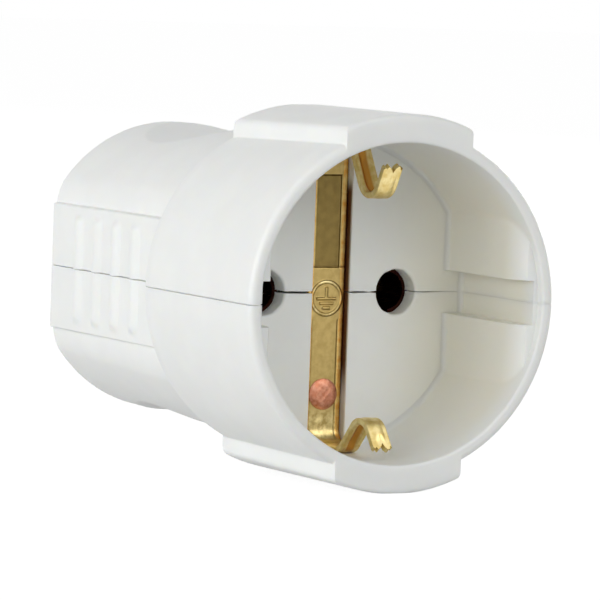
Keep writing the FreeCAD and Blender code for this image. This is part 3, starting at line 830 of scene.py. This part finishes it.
class Tree:
    """A node tree being filled."""

    def __init__(self, tree: bpy.types.NodeTree) -> None:
        """Takes the tree to fill."""
        self.tree = tree

    def fill(self, node: Node, values: dict) -> None:
        """Gives a node's inputs their values.

        Args:
            node: the node.
            values: for each input socket, a plain value or the output socket to join.
        """
        for socket, value in values.items():
            if isinstance(value, Socket):
                self.tree.links.new(value, node.inputs[socket])
            else:
                node.inputs[socket].default_value = value

    def add(self, kind: str, values: dict | None = None, **settings: object) -> Node:
        """Adds a shader node.

        Args:
            kind: the node's type, less the prefix that all have.
            values: for each input socket, a plain value or the output socket to join.
            settings: the node's own settings.

        Returns:
            The new node.
        """
        node = self.tree.nodes.new("ShaderNode" + kind)
        for name, value in settings.items():
            setattr(node, name, value)
        self.fill(node, values or {})
        return node

    def math(self, operation: str, a: object, b: object = 0.0) -> Socket:
        """Output of a Math node on one or two values."""
        return self.add("Math", {0: a, 1: b}, operation=operation).outputs[0]

    def vector(self, operation: str, a: object, b: object) -> Socket:
        """Output of a Vector Math node on two values."""
        return self.add("VectorMath", {0: a, 1: b}, operation=operation).outputs[0]

    def length(self, a: Socket, b: Socket) -> Socket:
        """Root of the sum of two squares."""
        return self.math("SQRT", self.math("ADD", self.math("MULTIPLY", a, a), self.math("MULTIPLY", b, b)))

    def band(self, value: Socket, low: float, high: float, to_low: float = 0.0,
             to_high: float = 1.0) -> Socket:
        """Output of a smooth Map Range node."""
        values = {0: value, 1: low, 2: high, 3: to_low, 4: to_high}
        return self.add("MapRange", values, interpolation_type="SMOOTHSTEP").outputs[0]

    def fade(self, value: Socket, low: float, high: float) -> Socket:
        """Mask that is one below low and nought above high."""
        return self.band(value, low, high, 1.0, 0.0)

    def all_of(self, first: object, *masks: object) -> Socket:
        """Product of several masks."""
        for mask in masks:
            first = self.math("MULTIPLY", first, mask)
        return first

    def mix(self, share: object, a: object, b: object) -> Socket:
        """Colour output of a Mix node."""
        return self.add("Mix", {0: share, 6: a, 7: b}, data_type="RGBA").outputs[2]

    def noise(self, place: Socket, scale: Socket, detail: float, roughness: float) -> Socket:
        """Factor of a Noise Texture node."""
        values = {"Vector": place, "Scale": scale, "Detail": detail, "Roughness": roughness}
        return self.add("TexNoise", values).outputs["Fac"]

    def bump(self, height: Socket, strength: float, distance: float) -> Socket:
        """Normal from a Bump node."""
        return self.add("Bump", {"Height": height, "Strength": strength, "Distance": distance}).outputs[0]

    def place(self) -> Socket:
        """Object coordinates, in metres."""
        return self.add("TexCoord").outputs["Object"]

    def from_axis(self) -> list[Socket]:
        """Object coordinates as millimetres about the socket's axis, with the mouth at y = 0."""
        scaled = self.vector("MULTIPLY", self.place(), (1 / MM,) * 3)
        moved = self.vector("ADD", scaled, (0.0, OVERALL_LENGTH / 2, -REST_HEIGHT))
        return list(self.add("SeparateXYZ", {0: moved}).outputs)


def new_group(name: str, inputs: dict[str, str], outputs: tuple[str, ...]) -> tuple[Tree, object, Node]:
    """An empty shader node group with its sockets.

    Args:
        name: the group's name.
        inputs: name and kind of each input, Vector or Float.
        outputs: name of each output, which is a Float.

    Returns:
        The tree, what its input node gives and its output node.
    """
    group = bpy.data.node_groups.new(name, "ShaderNodeTree")
    for way, sockets in (("INPUT", inputs), ("OUTPUT", dict.fromkeys(outputs, "Float"))):
        for label, kind in sockets.items():
            group.interface.new_socket(label, in_out=way, socket_type="NodeSocket" + kind)
    return Tree(group), group.nodes.new("NodeGroupInput").outputs, group.nodes.new("NodeGroupOutput")


@dataclass(frozen=True)
class SharedEffects:
    """Node groups that several finishes use."""

    cloud: bpy.types.NodeTree
    streaks: bpy.types.NodeTree

    @classmethod
    def make(cls) -> "SharedEffects":
        """Builds the groups: soft clouds with a fine grain, and drawn-out streaks.

        Returns:
            Both groups.
        """
        inputs = {"Vector": "Vector", "Cloud Scale": "Float", "Grain Scale": "Float"}
        tree, given, made = new_group("clouds_and_grain", inputs, ("Cloud", "Grain"))
        for part, detail in (("Cloud", 2.0), ("Grain", 3.0)):
            tree.fill(made, {part: tree.noise(given["Vector"], given[part + " Scale"], detail, 0.55)})
        cloud = tree.tree
        inputs = {"Vector": "Vector", "Stretch": "Vector", "Scale": "Float"}
        tree, given, made = new_group("drawn_streaks", inputs, ("Streak",))
        drawn = tree.vector("MULTIPLY", given["Vector"], given["Stretch"])
        tree.fill(made, {"Streak": tree.noise(drawn, given["Scale"], 4.0, 0.6)})
        return cls(cloud, tree.tree)


def new_material(name: str) -> tuple[Material, Tree, Node]:
    """A material with a Principled shader.

    Args:
        name: the material's name.

    Returns:
        The material, its tree and its shader.
    """
    made = bpy.data.materials.new(name)
    made.use_nodes = True
    return made, Tree(made.node_tree), made.node_tree.nodes["Principled BSDF"]


@dataclass(frozen=True)
class Finish:
    """A Principled material that goes between two colours. Its kinds have a method called inputs."""

    name: str
    light: Colour
    dark: Colour
    roughness: float

    def make(self, shared: SharedEffects) -> Material:
        """Builds the material.

        Args:
            shared: the node groups.

        Returns:
            The finished material.
        """
        made, tree, shader = new_material(self.name)
        tree.fill(shader, self.inputs(tree, shared))
        return made


@dataclass(frozen=True)
class WhitePlastic(Finish):
    """Satin moulded plastic: near-white, faintly uneven, with a fine grain."""

    scatter: float = 0.0

    def inputs(self, tree: Tree, shared: SharedEffects) -> dict:
        """The shader's inputs: clouds mix the colours, and the grain is in the roughness and relief.

        Args:
            tree: the material's tree.
            shared: the node groups.

        Returns:
            Value or output socket for each input.
        """
        values = {"Vector": tree.place(), "Cloud Scale": 160.0, "Grain Scale": 3200.0}
        noise = tree.add("Group", values, node_tree=shared.cloud).outputs
        plain = tree.mix(tree.band(noise["Cloud"], 0.35, 0.65), self.dark, self.light)
        return {
            "Base Color": self.tinted(tree, plain),
            "Roughness": tree.band(noise["Grain"], 0.3, 0.7, self.roughness - 0.05, self.roughness + 0.06),
            "Normal": tree.bump(noise["Grain"], 0.12, 0.00006),
            "Specular IOR Level": 0.45,
            "Subsurface Weight": self.scatter,
            "Subsurface Radius": (1.0, 0.8, 0.5),
            "Subsurface Scale": 0.0012,
        }

    def tinted(self, tree: Tree, plain: Socket) -> Socket:
        """The plain colour, which a finish with darker places may change."""
        return plain


@dataclass(frozen=True)
class HousingPlastic(WhitePlastic):
    """The housing's plastic, with painted shade in dark brown where the earth strip's channel takes the light
    away, and a little cream towards the right of the recess."""

    shade: Colour = BLACK
    cream_tint: Colour = BLACK
    channel_half_width: float = 2.76
    channel_start: float = 18.85
    inner_radius: float = 20.4
    inner_end: float = 21.5
    soft: float = 0.1
    crevice_low: Range = (-14.0, -9.0)
    crevice_high: Range = (12.6, 15.0)
    cream_x: Range = (4.0, 18.0)
    cream_y: Range = (0.4, 5.0)

    def tinted(self, tree: Tree, plain: Socket) -> Socket:
        """Mixes in the painted shade of the channel and the cream tint of the recess, by distance from the axis
        and behind the mouth.

        Args:
            tree: the material's tree.
            plain: the plastic's own colour.

        Returns:
            The mixed colour.
        """
        x, y, z = tree.from_axis()
        inside = tree.all_of(tree.fade(tree.length(x, z), self.inner_radius, self.inner_radius + self.soft),
                             tree.fade(y, self.inner_end, self.inner_end + self.soft))
        across = tree.fade(tree.math("ABSOLUTE", x), self.channel_half_width, self.channel_half_width + 0.04)
        # painted shade: dark brown on the channel's walls beside the strip, from just behind the floor, weaker
        # at the bottom and gone at the top
        crevice = tree.all_of(inside, across, tree.band(y, self.channel_start, self.channel_start + 0.5),
                              tree.band(z, *self.crevice_low, 0.3, 1.0), tree.fade(z, *self.crevice_high))
        # a little cream over the recess towards the right, from a few millimetres behind the lip
        recess = tree.all_of(inside, tree.band(y, *self.cream_y), tree.band(x, *self.cream_x))
        return tree.mix(crevice, tree.mix(recess, plain, self.cream_tint), self.shade)


@dataclass(frozen=True)
class DrawnMetal(Finish):
    """Rolled or turned metal with faint streaks and a soft tarnish."""

    stretch: tuple[float, float, float] = (1.0, 1.0, 1.0)
    cloud_scale: float = 420.0
    relief: float = 0.2

    def inputs(self, tree: Tree, shared: SharedEffects) -> dict:
        """The shader's inputs: clouds times streaks mix the colours, and the streaks and the grain are
        in the roughness and relief.

        Args:
            tree: the material's tree.
            shared: the node groups.

        Returns:
            Value or output socket for each input.
        """
        values = {"Vector": tree.place(), "Cloud Scale": self.cloud_scale, "Grain Scale": 5200.0}
        noise = tree.add("Group", values, node_tree=shared.cloud).outputs
        values = {"Vector": tree.place(), "Stretch": self.stretch, "Scale": 1500.0}
        streak = tree.add("Group", values, node_tree=shared.streaks).outputs[0]
        light, dark = self.colours(tree)
        share = tree.all_of(tree.band(noise["Cloud"], 0.3, 0.7), tree.band(streak, 0.2, 0.8, 0.55, 1.0))
        height = tree.math("ADD", streak, tree.math("MULTIPLY", noise["Grain"], 0.4))
        return {
            "Base Color": tree.mix(share, dark, light),
            "Roughness": tree.band(streak, 0.3, 0.7, self.roughness - 0.06, self.roughness + 0.08),
            "Normal": tree.bump(height, self.relief, 0.00004),
            "Metallic": 1.0,
        }

    def colours(self, tree: Tree) -> tuple[object, object]:
        """Colours of the clean and the tarnished metal, which may change from place to place."""
        return self.light, self.dark


@dataclass(frozen=True)
class StripBrass(DrawnMetal):
    """Brass of the earth strip, with light and shade painted in: olive and dull on the recess floor against
    gold on the hooks, as painted reflection; darkest in its panel, as painted shade; bright on the stamped
    ring, with a painted glint at the lower end; and painted orange reflections in the hooks' troughs and along
    the floor part's side edges."""

    gold: Colour = BLACK
    amber: Colour = BLACK
    olive: Colour = BLACK
    orange: Colour = BLACK
    strip: EarthStrip = EarthStrip()
    soft: float = 0.1
    ring_edge: Range = (0.1, 0.22)
    low_end: Range = (-16.5, -14.5)
    trough_edge: Range = (0.4, 0.66)

    def colours(self, tree: Tree) -> tuple[Socket, Socket]:
        """Mixes both colours by where on the band a place is, painting in shade, a glint and reflections.

        Args:
            tree: the material's tree.

        Returns:
            Colours of the clean and the tarnished metal.
        """
        x, y, z = tree.from_axis()
        across, form = tree.math("ABSOLUTE", x), self.strip
        floor = tree.band(y, form.front - 1.0, form.front - 0.5)
        side, low, high, soft = form.panel_half_width, form.panel_low, form.panel_high, self.soft
        # painted shade: the sunk panel on the recess floor takes the darker olive colour
        panel = tree.all_of(floor, tree.fade(across, side, side + soft), tree.band(z, low - soft, low),
                            tree.fade(z, high, high + soft))
        from_sign = tree.length(x, tree.math("SUBTRACT", z, form.stamp_z))
        off_ring = tree.math("ABSOLUTE", tree.math("SUBTRACT", from_sign, form.stamp_radius))
        # bright gold on the stamped ring, and a painted glint on the floor part's lower end above the fold
        ring_and_low_glint = tree.math("MAXIMUM", tree.fade(off_ring, *self.ring_edge), tree.fade(z, *self.low_end))
        # painted reflection: orange in the hooks' troughs, where brass faces brass
        trough = tree.all_of(tree.fade(across, *self.trough_edge), tree.fade(y, form.root_y - 0.6, form.root_y),
                             tree.band(y, form.apex_y + 0.7, form.apex_y + 1.5))
        # painted reflection: an amber to orange band near each side edge of the floor part, where the rounded
        # edge reflects the recess wall
        edge = tree.all_of(floor, tree.band(across, form.half_width - 0.75, form.half_width - 0.6))
        # painted shade: a deeper olive for the panel's darker colour
        deep = tuple(0.8 * value for value in self.olive[:3]) + (1.0,)
        light = tree.mix(tree.all_of(floor, ring_and_low_glint), tree.mix(panel, self.light, self.olive), self.gold)
        # painted reflection: the floor part takes the duller colours and the hooks the bright gold, on one
        # brass
        rows = ((self.gold, light, self.amber), (self.amber, tree.mix(panel, self.dark, deep), self.orange))
        # cut holds the colours of the painted edge reflection; the troughs take the painted orange reflection
        return tuple(tree.mix(trough, tree.mix(edge, tree.mix(floor, hook, flat), cut), self.orange)
                     for hook, flat, cut in rows)


@dataclass(frozen=True)
class SleeveBrass(DrawnMetal):
    """Brass of the contact sleeves, with painted shade, near black, at the mouth that the plug's pins enter."""

    pin_hole_shade: Colour = BLACK
    unshaded_from: float = 30.0

    def colours(self, tree: Tree) -> tuple[Socket, Socket]:
        """Mixes painted shade into both colours towards the mouth, so the pin holes are dark inside."""
        # painted shade: near black at the front, full brass from a few millimetres deeper
        clean = tree.band(tree.from_axis()[1], self.unshaded_from - 4.0, self.unshaded_from)
        return tuple(tree.mix(clean, self.pin_hole_shade, colour) for colour in (self.light, self.dark))


@dataclass(frozen=True)
class Lamp:
    """A square softbox aimed at the object."""

    name: str
    azimuth: float
    elevation: float
    distance: float
    size: float
    level: float

    def build(self, target: Vector) -> None:
        """Places the lamp. Its power is pi squared times the distance squared times its level, which
        is the brightness that it gives a white face square to it.

        Args:
            target: the point that it is aimed at.
        """
        data = bpy.data.lights.new(self.name, "AREA")
        data.size = self.size
        data.energy = self.level * (math.pi * self.distance) ** 2
        a, e = math.radians(self.azimuth), math.radians(self.elevation)
        back = Vector((math.sin(a) * math.cos(e), -math.cos(a) * math.cos(e), math.sin(e)))
        turn = back.to_track_quat("Z", "Y").to_matrix().to_4x4()
        add_object(self.name, data).matrix_world = Matrix.Translation(target + back * self.distance) @ turn


@dataclass(frozen=True)
class Studio:
    """Pale floor, white surroundings, soft lamps and the camera of the photograph."""

    ambient: float = 0.43
    ambient_above: float = 0.22
    floor_shade: float = 0.62
    floor_lift: float = 0.7
    floor_glow: float = 1.31
    floor_half_width: float = 3.0
    floor_level: float = -0.00002
    camera_place: tuple[float, float, float] = (-286.867, -529.924, 66.948)
    camera_right: tuple[float, float, float] = (0.87781781, -0.47764949, 0.03587287)
    camera_up: tuple[float, float, float] = (0.00464405, 0.08337537, 0.99650739)
    camera_back: tuple[float, float, float] = (-0.47897216, -0.87458534, 0.07540661)
    lens: float = 279.944
    lamps: tuple[Lamp, ...] = (
        Lamp("side_softbox", -88, 7, 1.0, 0.7, 0.63),
        Lamp("fill_softbox", -52, 7, 1.0, 0.7, 0.27),
        Lamp("front_softbox", 20, 28, 1.0, 0.6, 0.22),
        Lamp("rear_softbox", 118, 10, 1.0, 0.8, 0.5),
    )

    def seen(self, tree: Tree) -> Socket:
        """One for camera, glossy and transmission rays, and nought for the rest."""
        path = tree.add("LightPath").outputs
        glossy = tree.math("MAXIMUM", path["Is Glossy Ray"], path["Is Transmission Ray"])
        return tree.math("MAXIMUM", path["Is Camera Ray"], glossy)

    def world(self) -> None:
        """White where it is seen, and a soft plain light on everything else, dimmer from above."""
        made = bpy.data.worlds.new("studio_world")
        bpy.context.scene.world = made
        made.use_nodes = True
        tree = Tree(made.node_tree)
        way = tree.add("TexCoord").outputs["Generated"]
        height = tree.add("SeparateXYZ", {0: way}).outputs["Z"]
        light = tree.band(height, 0.0, 1.0, self.ambient, self.ambient_above)
        tree.fill(made.node_tree.nodes["Background"],
                  {"Color": WHITE, "Strength": tree.math("MAXIMUM", self.seen(tree), light)})

    def floor(self) -> None:
        """A plain pale floor under the part, lifted towards white where it is seen."""
        w, z = self.floor_half_width, self.floor_level
        mesh = bpy.data.meshes.new("studio_floor")
        mesh.from_pydata([(-w, -w, z), (w, -w, z), (w, w, z), (-w, w, z)], [], [(0, 1, 2, 3)])
        add_object("studio_floor", mesh)
        material, tree, shader = new_material("floor_paint")
        tree.fill(shader, {"Base Color": (self.floor_shade,) * 3 + (1.0,), "Roughness": 0.9})
        glow = tree.add("Emission", {"Color": WHITE, "Strength": self.floor_glow})
        share = tree.math("MULTIPLY", self.seen(tree), self.floor_lift)
        blend = tree.add("MixShader", {0: share, 1: shader.outputs[0], 2: glow.outputs[0]})
        tree.fill(material.node_tree.nodes["Material Output"], {"Surface": blend.outputs[0]})
        mesh.materials.append(material)

    def camera(self) -> None:
        """The camera, at the photograph's place, turn and lens."""
        data = bpy.data.cameras.new("photo_camera")
        data.lens, data.sensor_width, data.clip_start, data.clip_end = self.lens, 36.0, 0.01, 20.0
        made = add_object("photo_camera", data)
        turn = Matrix((self.camera_right, self.camera_up, self.camera_back)).transposed().to_4x4()
        made.matrix_world = Matrix.Translation(Vector(self.camera_place) * MM) @ turn
        bpy.context.scene.camera = made

    def build(self) -> None:
        """Sets up the whole studio."""
        scene = bpy.context.scene
        scene.view_settings.view_transform = "Standard"
        self.world()
        self.floor()
        self.camera()
        target = Vector((0.0, 0.0, REST_HEIGHT * MM))
        for lamp in self.lamps:
            lamp.build(target)
        log.info("studio: %d lamps", len(self.lamps))


@dataclass(frozen=True)
class Finishes:
    """The part's materials by the record's slots, with two more for the strip and the sleeves."""

    made: dict[str, Material]

    @classmethod
    def make(cls) -> "Finishes":
        """Builds every finish from the shared node groups.

        Returns:
            All finishes.
        """
        shared = SharedEffects.make()
        along_z, along_y = (1.0, 1.0, 0.06), (1.0, 0.06, 1.0)
        yellow = linear(214, 180, 104), linear(170, 136, 70)
        rows = {
            "housing": HousingPlastic("white_plastic", linear(244, 246, 244), linear(242, 244, 242), 0.42,
                                      scatter=0.3, shade=linear(86, 44, 26), cream_tint=linear(240, 238, 226)),
            # the strip's olive, gold, amber and orange paint in its shade and reflections
            "strip": StripBrass("strip_brass", linear(188, 164, 106), linear(168, 145, 89), 0.36, along_z,
                                cloud_scale=1000.0, gold=linear(246, 228, 168), amber=linear(222, 196, 124),
                                olive=linear(134, 114, 66), orange=linear(206, 150, 70)),
            "brass": DrawnMetal("terminal_brass", *yellow, 0.3, along_y),
            # painted shade in the pin holes: the sleeves' near-black front
            "sleeve": SleeveBrass("sleeve_brass", *yellow, 0.3, along_y, pin_hole_shade=linear(56, 28, 22)),
            "copper": DrawnMetal("rivet_copper", linear(216, 158, 132), linear(184, 118, 90), 0.44,
                                 cloud_scale=1500.0, relief=0.4),
            "spring_steel": DrawnMetal("spring_steel", linear(176, 176, 178), linear(128, 128, 132), 0.28,
                                       along_y),
            "screw_steel": DrawnMetal("screw_steel", linear(206, 204, 196), linear(166, 164, 156), 0.3,
                                      along_z),
            "clamp_plastic": WhitePlastic("clamp_plastic", linear(206, 207, 204), linear(196, 197, 193), 0.5),
        }
        return cls({slot: row.make(shared) for slot, row in rows.items()})

    def dress_frame(self) -> None:
        """Gives each node that stays as the frame has it its finish, by the record's slots."""
        slots = {row["node"]: row["material_slot"] for row in frame["record"]["subparts"]}
        for name, node in frame["nodes"].items():
            finish = self.made["sleeve" if "sleeve" in name else slots[name]]
            node.data.materials.clear()
            node.data.materials.append(finish)
            log.info("%s: %s", name, finish.name)


def main() -> None:
    """Builds the studio, the finishes and the pieces, in that order."""
    logging.basicConfig(level=logging.INFO, format="%(message)s")
    Studio().build()
    dressed = Finishes.make()
    dressed.dress_frame()
    finishes = dressed.made
    housing = Housing()
    for half in Half:
        housing.build(half, finishes["housing"])
    EarthStrip().build(finishes["strip"])
    EarthRivet().build(finishes["copper"])


if __name__ == "__main__":
    main()
